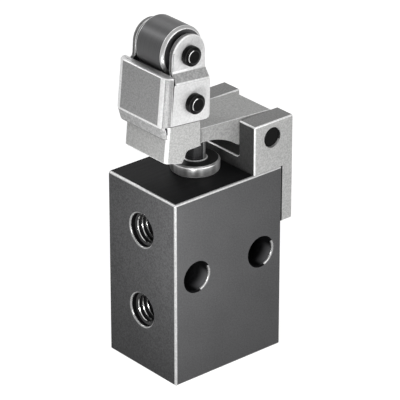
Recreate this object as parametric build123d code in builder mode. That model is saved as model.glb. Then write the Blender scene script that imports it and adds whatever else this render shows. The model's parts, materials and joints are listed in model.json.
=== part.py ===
"""Roller lever valve with idle return: a small 3/2-way cam valve with M5 ports.

Millimetres, +Z up. The origin is the centre of the body's underside, on the plunger's axis. The
ports open towards -X, the hinge bracket stands at +X, and the mounting holes run along Y.
The model is at rest: the plunger is up, the poppet is closed and the carrier leans on its stop.
"""
import os
from math import cos, radians, sin, sqrt, tan

from build123d import *

# Clearances
FIT_GAP = 0.02  # pressed and static round fits
RUNNING_GAP = 0.05  # round fits that turn or slide
SIDE_GAP = 0.1  # flat sides that pass each other
CONTACT_GAP = 0.03  # faces that meet when the valve works
DOME_GAP = 0.1  # from the plunger's dome up to the lever at rest

# Flat sides of the round sections of seals and springs
RING_SIDES = 6
WIRE_SIDES = 4

# Valve body, with heights from its underside
BODY_X = 20.0
BODY_Y = 15.0
BODY_Z = 29.0
BODY_EDGE = 0.3
PORT_R = 2.5
PORT_DEPTH = 5.0
PORT_MOUTH = 0.25
SUPPLY_Z = 9.5
OUTLET_DROP = 6.7  # from the body's top
PASSAGE_R = 1.2
MOUNT_HOLE_R = 2.15
MOUNT_HOLE_PITCH = 12.0
MOUNT_HOLE_Z = 16.5
MOUNT_HOLE_MOUTH = 0.3
CHAMBER_R = 4.0
BORE_R = 3.0
SHOULDER_Z = 12.6

# Guide bush and its seals
FLANGE_R = 3.6
FLANGE_H = 1.8
FLANGE_EDGE = 0.25
LIP_RING_R = 1.8  # raised ring round the plunger
LIP_RING_H = 0.15
SHANK_LENGTH = 4.8
SEAL_POCKET_R = 2.5
SEAL_POCKET_DEPTH = 1.8
SEAL_WASHER_H = 0.6
BUSH_GROOVE_R = 2.3
BUSH_GROOVE_H = 0.9
BUSH_GROOVE_DROP = 0.9  # from the body's top

# Plunger and its spring
PLUNGER_R = 1.5
VENT_R = 0.6
VENT_SLOT = 0.8
DOME_R = 0.8  # flat top inside the dome
DOME_H = 0.45
COLLAR_R = 2.2
COLLAR_H = 1.0
COLLAR_PLAY = 0.1
NOSE_R = 1.1
NOSE_LENGTH = 5.0
LOST_MOTION = 0.35  # closes the vent before the poppet opens
PLUNGER_WIRE = 0.5
PLUNGER_TURNS = 4

# Valve seat, poppet and closing screw
SEAT_H = 1.6
SEAT_LIP_H = 0.3
SEAT_LIP_R = 2.15
SEAT_HOLE_R = 1.7
RING_GROOVE_R = 3.3
RING_GROOVE_H = 0.9
DISC_R = 2.6
DISC_H = 1.0
HOLDER_R = 3.2
HOLDER_RIM_DROP = 0.35  # from the disc's face
HOLDER_FLOOR = 0.7
STEM_R = 1.0
STEM_LENGTH = 6.4
POPPET_WIRE = 0.45
POPPET_TURNS = 3
PLUG_H = 4.4
PLUG_GROOVE_Z = 2.6
STEM_WELL_Z = 1.6
SPANNER_HOLE_R = 0.45
SPANNER_HOLE_PITCH = 4.6
SPANNER_HOLE_DEPTH = 1.0

# Hinge bracket, its pin and its screws, with heights from the body's top
EAR_LENGTH = 7.34
EAR_H = 7.5
EAR_GAP = 8.1
WEB_H = 1.9
LEG_T = 2.0
LEG_DROP = 8.9
BRACKET_EDGE = 0.2
HINGE_SETBACK = 3.9  # from the leg's back face
HINGE_H = 5.0
HINGE_PIN_R = 1.5
HINGE_PIN_RECESS = 0.3
HINGE_MOUTH = 0.15
SCREW_R = 1.2
SCREW_HEAD_R = 2.2
SCREW_LENGTH = 7.0
SCREW_PITCH = 9.4
SCREW_DROP = 4.4
SCREW_SLOT = 0.6
SCREW_SLOT_DEPTH = 0.5

# Lever, with heights from the hinge line and places along X from the plunger's axis
ARCH_X = -2.1
ARCH_RISE = 0.97
ARCH_R = 11.0
ARCH_LENGTH = 6.7
BARREL_R = 2.8
ARM_FRONT_RISE = 3.25
ARM_REAR_RISE = 2.35
HEAD_HALF = 4.6
HEAD_REAR_X = -2.76
HEAD_FRONT_X = -9.3
HEAD_FRONT_RISE = 0.05
HEAD_FRONT_BEND = 0.6
KEEL_X = -6.25
KEEL_DROP = 0.75
COVE_X = -5.65
COVE_R = 0.8
NECK_RISE = 6.9
CHEEK_SLOT = 3.4
CHEEK_SLOT_RISE = 5.6

# Roller carrier, in its own frame: U back and W up from the tilt pin, both leaning
LEAN = 5.5  # degrees that it leans back on its stop
TILT_X = -5.0
TILT_RISE = 8.6  # from the hinge line
SHEET = 0.8
CARRIER_HALF = 5.5
PLATE_FRONT_U = -5.06
PLATE_TOP_W = 4.2
PLATE_BOTTOM_W = -3.1
BEND_R = 1.4
LIP_H = 1.95
LIP_WRAP = 0.6  # how far the lip goes round the bends
SIDE_BOTTOM_U = 3.4
SIDE_TOP_U = 2.9
SIDE_CORNER_R = 0.8
STEP_FRONT_U = -3.3
STEP_BOTTOM_W = 3.1
STEP_TOP_W = 4.6
STEP_INSET = 1.1
STEP_R = 0.9
SLIT = 0.35
EAR_R = 2.95
AXLE_U = -0.42
AXLE_W = 6.75

# Tilt pin, roller axle and tilt spring
PIN_R = 1.1
PIN_HEAD_R = 1.45
PIN_HEAD_H = 1.15
PIN_FACE_R = 0.95
PIN_HEAD_EDGE = 0.25  # along the axis, from the flat face to the round side
TILT_WIRE = 0.5
TILT_TURNS = 2
TILT_SPRING_LENGTH = 2.0  # between the wire's centres
SPRING_HOLE_DEPTH = 1.3

# Roller
ROLLER_R = 3.75
ROLLER_HALF = 3.0
ROLLER_EDGE = 0.35
ROLLER_BUSH_R = 2.0

# Heights inside the body
outlet_z = BODY_Z - OUTLET_DROP
bush_bottom = BODY_Z - SHANK_LENGTH
bush_groove_top = BODY_Z - BUSH_GROOVE_DROP
bush_groove_bottom = bush_groove_top - BUSH_GROOVE_H
collar_top = bush_bottom - COLLAR_PLAY
collar_bottom = collar_top - COLLAR_H
seat_bottom = SHOULDER_Z - SEAT_H
lip_bottom = seat_bottom - SEAT_LIP_H
disc_top = lip_bottom - FIT_GAP
disc_bottom = disc_top - DISC_H
holder_top = disc_top - HOLDER_RIM_DROP
holder_bottom = disc_bottom - HOLDER_FLOOR
plunger_tip = disc_top + LOST_MOTION

# Places of the bracket, the lever and the carrier
leg_back_x = BODY_X / 2 + LEG_T
ear_front_x = leg_back_x - EAR_LENGTH
hinge_x = leg_back_x - HINGE_SETBACK
hinge_z = BODY_Z + HINGE_H
arm_half = EAR_GAP / 2 - SIDE_GAP
barrel_back_x = hinge_x + BARREL_R
tilt_z = hinge_z + TILT_RISE
boss_r = HEAD_REAR_X - TILT_X
plate_inner_u = PLATE_FRONT_U + SHEET
side_inner_half = CARRIER_HALF - SHEET
ear_half = CARRIER_HALF - STEP_INSET
ear_inner_half = ear_half - SHEET
coil_r = PIN_R + SIDE_GAP + TILT_WIRE / 2

# Working planes
upright = Plane.XZ
lever_side = Plane((0, 0, hinge_z), x_dir=(1, 0, 0), z_dir=(0, -1, 0))
lean_back = Vector(cos(radians(LEAN)), 0, -sin(radians(LEAN)))
lean_side = Plane((TILT_X, 0, tilt_z), x_dir=lean_back, z_dir=(0, -1, 0))
lean_plan = Plane(lean_side.origin, x_dir=lean_back, z_dir=lean_side.y_dir)
lean_front = Plane(lean_side.origin, x_dir=(0, 1, 0), z_dir=lean_back)
hinge_line = Plane((hinge_x, 0, hinge_z))
tilt_line = Plane((TILT_X, 0, tilt_z))
axle_line = Plane(lean_side.from_local_coords((AXLE_U, AXLE_W, 0)))
back_axis = Axis(lean_side.origin, lean_back)


def face_plane(x, y, z, outward):
    """A plane on an upright face, with its X level and its Y up."""
    level = Vector(0, 0, 1).cross(Vector(*outward))
    return Plane((x, y, z), x_dir=level, z_dir=outward)


def turn(points, plane):
    """Turn a closed half section of (radius, place along the axis) points about the plane's Y."""
    with BuildSketch(plane) as section:
        with BuildLine():
            Polyline(*points, close=True)
        make_face()
    revolve(section.sketch, axis=Axis(plane.origin, plane.y_dir))


def o_ring(outer, inner, middle_z):
    """A seal that fills the gap between two radii, with flat sides that keep its mesh light."""
    with BuildSketch(upright) as section:
        with Locations(((outer + inner) / 2, middle_z)):
            RegularPolygon((outer - inner) / 2 - FIT_GAP, RING_SIDES)
    revolve(section.sketch, axis=Axis.Z)


def helix_on(plane, mean_r, length, turns):
    """A helix that stands on the plane and starts at its X."""
    with BuildLine() as helix:
        Helix(pitch=length / turns, height=length, radius=mean_r)
    return helix.line.moved(plane.location)


def wire_along(path, wire):
    """Sweep a wire along a path from its start, with flat sides that keep its mesh light."""
    with BuildSketch(Plane(path @ 0, z_dir=path % 0)) as section:
        RegularPolygon(wire / 2, WIRE_SIDES)
    sweep(section.sketch, path=path)


def standing_coil(foot_z, mean_r, wire, length, turns):
    """A coil spring on the plunger's axis, between two heights of its wire's centre."""
    wire_along(helix_on(Plane.XY.offset(foot_z), mean_r, length, turns), wire)


def arch_rise(x):
    """Height of the arm's arched underside over the hinge line."""
    return ARCH_RISE - ARCH_R + sqrt(ARCH_R**2 - (x - ARCH_X) ** 2)


def riveted_pin(plane, half):
    """A cross pin whose two round heads close on flat sides at plus and minus half."""
    head = half + PIN_HEAD_H
    turn(
        [
            (0, -head),
            (PIN_FACE_R, -head),
            (PIN_HEAD_R, PIN_HEAD_EDGE - head),
            (PIN_HEAD_R, -half),
            (PIN_R, -half),
            (PIN_R, half),
            (PIN_HEAD_R, half),
            (PIN_HEAD_R, head - PIN_HEAD_EDGE),
            (PIN_FACE_R, head),
            (0, head),
        ],
        plane,
    )


def channel_section():
    """The carrier's U seen from above, left long at the back for the outline to trim."""
    with Locations((PLATE_FRONT_U, 0)):
        RectangleRounded(BODY_X, 2 * CARRIER_HALF, BEND_R, align=(Align.MIN, Align.CENTER))
    with Locations((plate_inner_u, 0)):
        RectangleRounded(
            BODY_X,
            2 * side_inner_half,
            BEND_R - SHEET,
            align=(Align.MIN, Align.CENTER),
            mode=Mode.SUBTRACT,
        )


# Anodised block with a stepped bore, two ports, the mounting holes and the bracket's screw holes
with BuildPart() as valve_body:
    with BuildSketch():
        Rectangle(BODY_X, BODY_Y)
    extrude(amount=BODY_Z)
    chamfer(valve_body.edges(), BODY_EDGE)
    with BuildSketch():
        Circle(CHAMBER_R)
    extrude(amount=SHOULDER_Z, mode=Mode.SUBTRACT)
    with BuildSketch():
        Circle(BORE_R)
    extrude(amount=BODY_Z, mode=Mode.SUBTRACT)
    for port_z in (SUPPLY_Z, outlet_z):
        with Locations(face_plane(-BODY_X / 2, 0, port_z, (-1, 0, 0))):
            CounterSinkHole(PORT_R, PORT_R + PORT_MOUTH, depth=PORT_DEPTH, counter_sink_angle=90)
            Hole(PASSAGE_R, depth=BODY_X / 2)
    for side in (-1, 1):
        with Locations(face_plane(0, side * BODY_Y / 2, MOUNT_HOLE_Z, (0, side, 0))):
            with GridLocations(MOUNT_HOLE_PITCH, 1, 2, 1):
                CounterSinkHole(MOUNT_HOLE_R, MOUNT_HOLE_R + MOUNT_HOLE_MOUTH, counter_sink_angle=90)
    with Locations(face_plane(BODY_X / 2, 0, BODY_Z - SCREW_DROP, (1, 0, 0))):
        with GridLocations(SCREW_PITCH, 1, 2, 1):
            Hole(SCREW_R + FIT_GAP, depth=SCREW_LENGTH - LEG_T + SIDE_GAP)

# Turned collar that guides the plunger and holds its seal
with BuildPart() as guide_bush:
    turn(
        [
            (PLUNGER_R + RUNNING_GAP, BODY_Z + FLANGE_H + LIP_RING_H),
            (LIP_RING_R - LIP_RING_H, BODY_Z + FLANGE_H + LIP_RING_H),
            (LIP_RING_R, BODY_Z + FLANGE_H),
            (FLANGE_R - FLANGE_EDGE, BODY_Z + FLANGE_H),
            (FLANGE_R, BODY_Z + FLANGE_H - FLANGE_EDGE),
            (FLANGE_R, BODY_Z + FLANGE_EDGE),
            (FLANGE_R - FLANGE_EDGE, BODY_Z),
            (BORE_R - FIT_GAP, BODY_Z),
            (BORE_R - FIT_GAP, bush_groove_top),
            (BUSH_GROOVE_R, bush_groove_top),
            (BUSH_GROOVE_R, bush_groove_bottom),
            (BORE_R - FIT_GAP, bush_groove_bottom),
            (BORE_R - FIT_GAP, bush_bottom),
            (SEAL_POCKET_R, bush_bottom),
            (SEAL_POCKET_R, bush_bottom + SEAL_POCKET_DEPTH),
            (PLUNGER_R + RUNNING_GAP, bush_bottom + SEAL_POCKET_DEPTH),
        ],
        upright,
    )

# Static seal of the collar, in its outer groove
with BuildPart() as bush_o_ring:
    o_ring(BORE_R, BUSH_GROOVE_R, (bush_groove_top + bush_groove_bottom) / 2)

# Sliding seal of the plunger, and the washer that keeps it in the collar
with BuildPart() as plunger_o_ring:
    o_ring(SEAL_POCKET_R, PLUNGER_R, bush_bottom + (SEAL_POCKET_DEPTH + SEAL_WASHER_H) / 2)

with BuildPart() as seal_washer:
    with BuildSketch(Plane.XY.offset(bush_bottom)):
        Circle(SEAL_POCKET_R - FIT_GAP)
        Circle(PLUNGER_R + RUNNING_GAP, mode=Mode.SUBTRACT)
    extrude(amount=SEAL_WASHER_H)

# Hollow plunger: dome and vent slot on top, stop collar, and a nose that meets the poppet
plunger_top = hinge_z + arch_rise(DOME_R) - DOME_GAP
with BuildPart() as plunger:
    turn(
        [
            (VENT_R, plunger_tip),
            (NOSE_R, plunger_tip),
            (NOSE_R, plunger_tip + NOSE_LENGTH),
            (PLUNGER_R, plunger_tip + NOSE_LENGTH + PLUNGER_R - NOSE_R),
            (PLUNGER_R, collar_bottom),
            (COLLAR_R, collar_bottom),
            (COLLAR_R, collar_top),
            (PLUNGER_R, collar_top),
            (PLUNGER_R, plunger_top - DOME_H),
            (DOME_R, plunger_top),
            (VENT_R, plunger_top),
        ],
        upright,
    )
    with BuildSketch(Plane.XY.offset(plunger_top)):
        Rectangle(VENT_SLOT, 2 * PLUNGER_R)
    extrude(amount=-DOME_H, mode=Mode.SUBTRACT)

# Return spring of the plunger, from the seat ring up to the stop collar
with BuildPart() as plunger_spring:
    standing_coil(
        SHOULDER_Z + PLUNGER_WIRE / 2,
        PLUNGER_R + SIDE_GAP + PLUNGER_WIRE / 2,
        PLUNGER_WIRE,
        collar_bottom - SHOULDER_Z - PLUNGER_WIRE,
        PLUNGER_TURNS,
    )

# Seat ring pressed against the bore's shoulder, with its lip down towards the poppet
seat_groove_bottom = seat_bottom + (SEAT_H - RING_GROOVE_H) / 2
seat_groove_top = seat_groove_bottom + RING_GROOVE_H
with BuildPart() as valve_seat:
    turn(
        [
            (SEAT_HOLE_R, SHOULDER_Z),
            (CHAMBER_R - FIT_GAP, SHOULDER_Z),
            (CHAMBER_R - FIT_GAP, seat_groove_top),
            (RING_GROOVE_R, seat_groove_top),
            (RING_GROOVE_R, seat_groove_bottom),
            (CHAMBER_R - FIT_GAP, seat_groove_bottom),
            (CHAMBER_R - FIT_GAP, seat_bottom),
            (SEAT_LIP_R + SEAT_LIP_H, seat_bottom),
            (SEAT_LIP_R, lip_bottom),
            (SEAT_HOLE_R, lip_bottom),
        ],
        upright,
    )

with BuildPart() as seat_o_ring:
    o_ring(CHAMBER_R, RING_GROOVE_R, SHOULDER_Z - SEAT_H / 2)

# Poppet: a turned holder with a guide stem, and the rubber disc in its cup
with BuildPart() as poppet_holder:
    turn(
        [
            (0, holder_bottom - STEM_LENGTH),
            (STEM_R, holder_bottom - STEM_LENGTH),
            (STEM_R, holder_bottom),
            (HOLDER_R, holder_bottom),
            (HOLDER_R, holder_top),
            (DISC_R + FIT_GAP, holder_top),
            (DISC_R + FIT_GAP, disc_bottom),
            (0, disc_bottom),
        ],
        upright,
    )

with BuildPart() as poppet_disc:
    with BuildSketch(Plane.XY.offset(disc_bottom)):
        Circle(DISC_R)
    extrude(amount=DISC_H)

# Closing screw, flush with the underside, with two spanner holes and the stem's well
with BuildPart() as bottom_plug:
    turn(
        [
            (0, 0),
            (CHAMBER_R - FIT_GAP, 0),
            (CHAMBER_R - FIT_GAP, PLUG_GROOVE_Z),
            (RING_GROOVE_R, PLUG_GROOVE_Z),
            (RING_GROOVE_R, PLUG_GROOVE_Z + RING_GROOVE_H),
            (CHAMBER_R - FIT_GAP, PLUG_GROOVE_Z + RING_GROOVE_H),
            (CHAMBER_R - FIT_GAP, PLUG_H),
            (STEM_R + RUNNING_GAP, PLUG_H),
            (STEM_R + RUNNING_GAP, STEM_WELL_Z),
            (0, STEM_WELL_Z),
        ],
        upright,
    )
    with BuildSketch():
        with GridLocations(SPANNER_HOLE_PITCH, 1, 2, 1):
            Circle(SPANNER_HOLE_R)
    extrude(amount=SPANNER_HOLE_DEPTH, mode=Mode.SUBTRACT)

with BuildPart() as plug_o_ring:
    o_ring(CHAMBER_R, RING_GROOVE_R, PLUG_GROOVE_Z + RING_GROOVE_H / 2)

# Spring that closes the poppet, round its guide stem
with BuildPart() as poppet_spring:
    standing_coil(
        PLUG_H + POPPET_WIRE / 2,
        STEM_R + SIDE_GAP + POPPET_WIRE / 2,
        POPPET_WIRE,
        holder_bottom - PLUG_H - POPPET_WIRE,
        POPPET_TURNS,
    )

# Die-cast saddle: two ears on a web, and a leg down the body's back
with BuildPart() as hinge_bracket:
    with BuildSketch(upright):
        with BuildLine():
            Polyline(
                (ear_front_x, BODY_Z),
                (BODY_X / 2, BODY_Z),
                (BODY_X / 2, BODY_Z - LEG_DROP),
                (leg_back_x, BODY_Z - LEG_DROP),
                (leg_back_x, BODY_Z + EAR_H),
                (ear_front_x, BODY_Z + EAR_H),
                close=True,
            )
        make_face()
    extrude(amount=BODY_Y / 2, both=True)
    with BuildSketch(Plane.XY.offset(BODY_Z + WEB_H)):
        Rectangle(4 * leg_back_x, EAR_GAP)
    extrude(amount=EAR_H, mode=Mode.SUBTRACT)
    seat_edges = hinge_bracket.edges().filter_by_position(Axis.X, ear_front_x, BODY_X / 2)
    seat_edges = seat_edges.filter_by_position(Axis.Z, BODY_Z - LEG_DROP, BODY_Z)
    chamfer(hinge_bracket.edges() - seat_edges, BRACKET_EDGE)
    for side in (-1, 1):
        with Locations(face_plane(hinge_x, side * BODY_Y / 2, hinge_z, (0, side, 0))):
            CounterSinkHole(
                HINGE_PIN_R + FIT_GAP, HINGE_PIN_R + HINGE_MOUTH, depth=BODY_Y / 2, counter_sink_angle=90
            )
    with Locations(face_plane(leg_back_x, 0, BODY_Z - SCREW_DROP, (1, 0, 0))):
        with GridLocations(SCREW_PITCH, 1, 2, 1):
            CounterSinkHole(SCREW_R + FIT_GAP, SCREW_HEAD_R + FIT_GAP, depth=LEG_T, counter_sink_angle=90)

hinge_half = BODY_Y / 2 - HINGE_PIN_RECESS
with BuildPart() as hinge_pin:
    turn(
        [
            (0, -hinge_half),
            (HINGE_PIN_R - HINGE_MOUTH, -hinge_half),
            (HINGE_PIN_R, HINGE_MOUTH - hinge_half),
            (HINGE_PIN_R, hinge_half - HINGE_MOUTH),
            (HINGE_PIN_R - HINGE_MOUTH, hinge_half),
            (0, hinge_half),
        ],
        hinge_line,
    )

# Two countersunk screws through the leg
with BuildPart() as bracket_screws:
    for screw_y in (-SCREW_PITCH / 2, SCREW_PITCH / 2):
        screw_line = Plane(
            (leg_back_x, screw_y, BODY_Z - SCREW_DROP), x_dir=(0, 0, 1), z_dir=(0, 1, 0)
        )
        turn(
            [
                (0, 0),
                (SCREW_HEAD_R, 0),
                (SCREW_R, SCREW_R - SCREW_HEAD_R),
                (SCREW_R, -SCREW_LENGTH),
                (0, -SCREW_LENGTH),
            ],
            screw_line,
        )
        with BuildSketch(face_plane(leg_back_x, screw_y, BODY_Z - SCREW_DROP, (1, 0, 0))):
            Rectangle(2 * SCREW_HEAD_R, SCREW_SLOT)
        extrude(amount=-SCREW_SLOT_DEPTH, mode=Mode.SUBTRACT)

# Centre line of the tilt spring's coil, and its leg that goes down into the lever's head
spring_side = Plane((TILT_X, -TILT_SPRING_LENGTH / 2, tilt_z), x_dir=(0, 0, 1), z_dir=(0, 1, 0))
tilt_helix = helix_on(spring_side, coil_r, TILT_SPRING_LENGTH, TILT_TURNS + 0.25)
down_leg_foot = Plane(tilt_helix @ 1, z_dir=tilt_helix % 1)
down_leg = TILT_RISE - CHEEK_SLOT_RISE + SPRING_HOLE_DEPTH - SIDE_GAP

# Die-cast lever, drawn from the side: the head block first, with two cheeks round the tilt pin
cove_top_x = COVE_X + COVE_R
neck_front_x = HEAD_FRONT_X + (NECK_RISE - HEAD_FRONT_RISE) * tan(radians(LEAN))
boss_slope = boss_r / sqrt(2)
with BuildPart() as lever:
    with BuildSketch(lever_side):
        with BuildLine():
            Polyline(
                (HEAD_REAR_X, TILT_RISE),
                (HEAD_REAR_X, ARCH_RISE),
                (cove_top_x, ARCH_RISE),
            )
            RadiusArc((cove_top_x, ARCH_RISE), (COVE_X, ARCH_RISE - COVE_R), -COVE_R)
            Polyline(
                (COVE_X, ARCH_RISE - COVE_R),
                (KEEL_X, -KEEL_DROP),
                (HEAD_FRONT_X, HEAD_FRONT_RISE),
                (neck_front_x, NECK_RISE),
                (TILT_X - boss_slope, TILT_RISE + boss_slope),
            )
            ThreePointArc(
                (TILT_X - boss_slope, TILT_RISE + boss_slope),
                (TILT_X, TILT_RISE + boss_r),
                (HEAD_REAR_X, TILT_RISE),
            )
        make_face()
    extrude(amount=HEAD_HALF, both=True)
    front_edges = lever.faces().sort_by(back_axis)[0].edges().filter_by(Axis.Y, reverse=True)
    fillet(front_edges, HEAD_FRONT_BEND)
    # Arched arm: it starts inside the head and ends in the round barrel of the hinge
    arch_end = (ARCH_X + ARCH_LENGTH, arch_rise(ARCH_X + ARCH_LENGTH))
    with BuildSketch(lever_side):
        with BuildLine():
            Polyline(
                (ARCH_X, ARCH_RISE),
                (cove_top_x, ARCH_RISE),
                (cove_top_x, ARM_FRONT_RISE),
                (HEAD_REAR_X, ARM_FRONT_RISE),
                (barrel_back_x, ARM_REAR_RISE),
                (barrel_back_x, 0),
            )
            RadiusArc((barrel_back_x, 0), (hinge_x, -BARREL_R), BARREL_R)
            Line((hinge_x, -BARREL_R), arch_end)
            RadiusArc(arch_end, (ARCH_X, ARCH_RISE), -ARCH_R)
        make_face()
    extrude(amount=arm_half, both=True)
    with BuildSketch(lever_side):
        with Locations((TILT_X, CHEEK_SLOT_RISE)):
            Rectangle(4 * boss_r, 2 * TILT_RISE, align=(Align.CENTER, Align.MIN))
    extrude(amount=CHEEK_SLOT / 2, both=True, mode=Mode.SUBTRACT)
    with BuildSketch(lever_side):
        with Locations((TILT_X, TILT_RISE)):
            Circle(PIN_R + RUNNING_GAP)
        with Locations((hinge_x, 0)):
            Circle(HINGE_PIN_R + RUNNING_GAP)
    extrude(amount=BODY_Y, both=True, mode=Mode.SUBTRACT)
    with BuildSketch(down_leg_foot):
        Circle(TILT_WIRE / 2 + RUNNING_GAP)
    extrude(amount=down_leg + SIDE_GAP, mode=Mode.SUBTRACT)

# Stepped ears of the carrier: both sides of the bent sheet, trimmed to their outline
with BuildPart() as stepped_ears:
    with BuildSketch(lean_front) as sheet_section:
        with BuildLine():
            Polyline(
                (CARRIER_HALF, STEP_BOTTOM_W - STEP_INSET),
                (CARRIER_HALF, STEP_BOTTOM_W),
                (ear_half, STEP_TOP_W),
                (ear_half, AXLE_W + 2 * EAR_R),
                (ear_inner_half, AXLE_W + 2 * EAR_R),
                (ear_inner_half, STEP_TOP_W),
                (side_inner_half, STEP_BOTTOM_W),
                (side_inner_half, STEP_BOTTOM_W - STEP_INSET),
                close=True,
            )
        make_face()
        bends = sheet_section.vertices().group_by(Axis.Y)[1:3]
        fillet(bends[0] + bends[1], STEP_R)
        mirror(about=Plane.YZ)
    extrude(amount=BODY_X, both=True)
    with BuildSketch(lean_side):
        with BuildLine():
            Polyline(
                (AXLE_U - EAR_R, AXLE_W),
                (STEP_FRONT_U, STEP_TOP_W),
                (STEP_FRONT_U, STEP_BOTTOM_W - STEP_INSET),
                (SIDE_TOP_U, STEP_BOTTOM_W - STEP_INSET),
                (SIDE_TOP_U, STEP_BOTTOM_W),
                (AXLE_U + EAR_R, AXLE_W),
            )
            ThreePointArc((AXLE_U + EAR_R, AXLE_W), (AXLE_U, AXLE_W + EAR_R), (AXLE_U - EAR_R, AXLE_W))
        make_face()
    extrude(amount=BODY_Y, both=True, mode=Mode.INTERSECT)

# Pressed sheet carrier: a U with rounded bends, the stepped ears, and a lip that stops on the head
head_front_u = lean_side.to_local_coords(Vector(HEAD_FRONT_X, 0, hinge_z + HEAD_FRONT_RISE)).X
lip_in = head_front_u - CONTACT_GAP - plate_inner_u
lip_run = lean_back * lip_in - lean_plan.z_dir * LIP_H
with BuildPart() as roller_carrier:
    with BuildSketch(lean_plan.offset(PLATE_BOTTOM_W)) as channel:
        channel_section()
    extrude(amount=PLATE_TOP_W - PLATE_BOTTOM_W)
    with BuildSketch(lean_side) as side_outline:
        with BuildLine():
            Polyline(
                (2 * PLATE_FRONT_U, PLATE_BOTTOM_W),
                (SIDE_BOTTOM_U, PLATE_BOTTOM_W),
                (SIDE_TOP_U, STEP_BOTTOM_W),
                (STEP_FRONT_U - SLIT, STEP_BOTTOM_W),
                (STEP_FRONT_U - SLIT, PLATE_TOP_W),
                (2 * PLATE_FRONT_U, PLATE_TOP_W),
                close=True,
            )
        make_face()
        fillet(side_outline.vertices().sort_by(Axis.X)[-1], SIDE_CORNER_R)
    extrude(amount=BODY_Y, both=True, mode=Mode.INTERSECT)
    add(stepped_ears.part)
    with BuildSketch(lean_plan.offset(PLATE_BOTTOM_W)):
        channel_section()
        with Locations((PLATE_FRONT_U, 0)):
            Rectangle(2 * LIP_WRAP, 2 * CARRIER_HALF, mode=Mode.INTERSECT)
    extrude(amount=lip_run.length, dir=lip_run)
    with BuildSketch(lean_side):
        with Locations((0, 0), (AXLE_U, AXLE_W)):
            Circle(PIN_R + FIT_GAP)
    extrude(amount=BODY_Y, both=True, mode=Mode.SUBTRACT)

with BuildPart() as tilt_pin:
    riveted_pin(tilt_line, CARRIER_HALF)

with BuildPart() as roller_axle:
    riveted_pin(axle_line, ear_half)

# Torsion spring in the cheeks' slot: one leg on the front plate, the other down in the head
plate_at_leg = plate_inner_u / cos(radians(LEAN)) + coil_r * tan(radians(LEAN))
front_leg = -plate_at_leg - TILT_WIRE / 2 - SIDE_GAP
with BuildPart() as tilt_spring:
    with BuildLine() as spring_path:
        Line(tilt_helix @ 0 - (tilt_helix % 0) * front_leg, tilt_helix @ 0)
        add(tilt_helix)
        Line(tilt_helix @ 1, tilt_helix @ 1 + (tilt_helix % 1) * down_leg)
    wire_along(spring_path.line, TILT_WIRE)

# Steel roller on its bush
with BuildPart() as roller:
    turn(
        [
            (ROLLER_BUSH_R + FIT_GAP, -ROLLER_HALF),
            (ROLLER_R - ROLLER_EDGE, -ROLLER_HALF),
            (ROLLER_R, ROLLER_EDGE - ROLLER_HALF),
            (ROLLER_R, ROLLER_HALF - ROLLER_EDGE),
            (ROLLER_R - ROLLER_EDGE, ROLLER_HALF),
            (ROLLER_BUSH_R + FIT_GAP, ROLLER_HALF),
        ],
        axle_line,
    )

bush_half = ear_inner_half - SIDE_GAP
with BuildPart() as roller_bush:
    turn(
        [
            (PIN_R + RUNNING_GAP, -bush_half),
            (ROLLER_BUSH_R, -bush_half),
            (ROLLER_BUSH_R, bush_half),
            (PIN_R + RUNNING_GAP, bush_half),
        ],
        axle_line,
    )

pieces = {
    "valve_body": valve_body,
    "guide_bush": guide_bush,
    "bush_o_ring": bush_o_ring,
    "plunger_o_ring": plunger_o_ring,
    "seal_washer": seal_washer,
    "plunger": plunger,
    "plunger_spring": plunger_spring,
    "valve_seat": valve_seat,
    "seat_o_ring": seat_o_ring,
    "poppet_holder": poppet_holder,
    "poppet_disc": poppet_disc,
    "poppet_spring": poppet_spring,
    "bottom_plug": bottom_plug,
    "plug_o_ring": plug_o_ring,
    "hinge_bracket": hinge_bracket,
    "hinge_pin": hinge_pin,
    "bracket_screws": bracket_screws,
    "lever": lever,
    "roller_carrier": roller_carrier,
    "tilt_pin": tilt_pin,
    "roller_axle": roller_axle,
    "tilt_spring": tilt_spring,
    "roller": roller,
    "roller_bush": roller_bush,
}
os.makedirs("parts", exist_ok=True)
for name, piece in pieces.items():
    piece.part.label = name
    export_step(piece.part, f"parts/{name}.step")
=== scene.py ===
"""Looks of a small roller lever valve with idle return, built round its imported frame.

Metres, +Z up, the origin at the centre of the body's underside on the plunger's axis. The ports
open towards -X, the hinge bracket stands at +X and the mounting holes run along Y.
"""
import json
import math

import bmesh
import bpy
from mathutils import Matrix, Vector

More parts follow.
